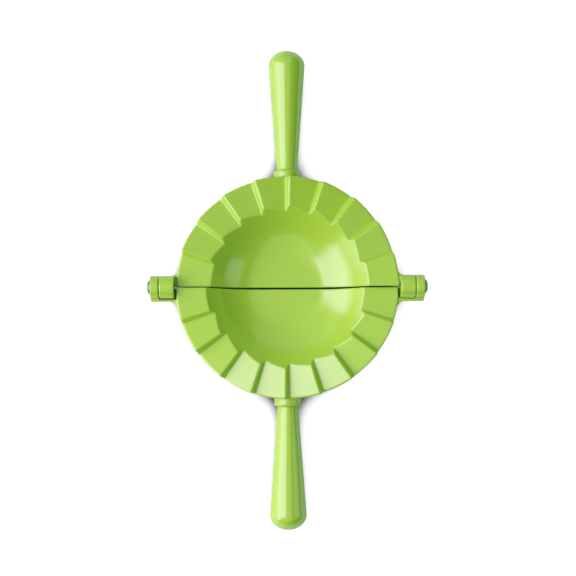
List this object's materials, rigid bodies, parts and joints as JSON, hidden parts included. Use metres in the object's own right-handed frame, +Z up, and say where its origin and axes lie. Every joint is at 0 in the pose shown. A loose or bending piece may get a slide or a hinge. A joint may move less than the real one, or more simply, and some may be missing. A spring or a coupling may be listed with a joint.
{
  "type": "empanada press",
  "caption": "Folding hand press with round bowl, pleated crimping rim, side hinge pins and two straight handles, shown opened flat.",
  "frame": {"origin": "on the surface that the open press rests on, below the middle of the hinge line", "axes": "+X along the hinge line to the right, +Y towards the rear jaw and its handle, +Z up, out of the bowl"},
  "size_m": [0.1506, 0.2608, 0.027],
  "materials": {
    "green_plastic": "smooth glossy moulded polypropylene, lime green",
    "pin_steel": "polished steel head"
  },
  "bodies": {
    "front_half": {"front_jaw": "green_plastic", "front_handle": "green_plastic", "left_hinge_pin": "pin_steel", "right_hinge_pin": "pin_steel"},
    "rear_half": {"rear_jaw": "green_plastic", "rear_handle": "green_plastic"}
  },
  "joints": [
    {"name": "jaw_hinge", "type": "hinge", "parent": "front_half", "child": "rear_half", "pos_m": [0, 0, 0.02087], "axis": [1, 0, 0], "range_deg": [0, 180]}
  ]
}
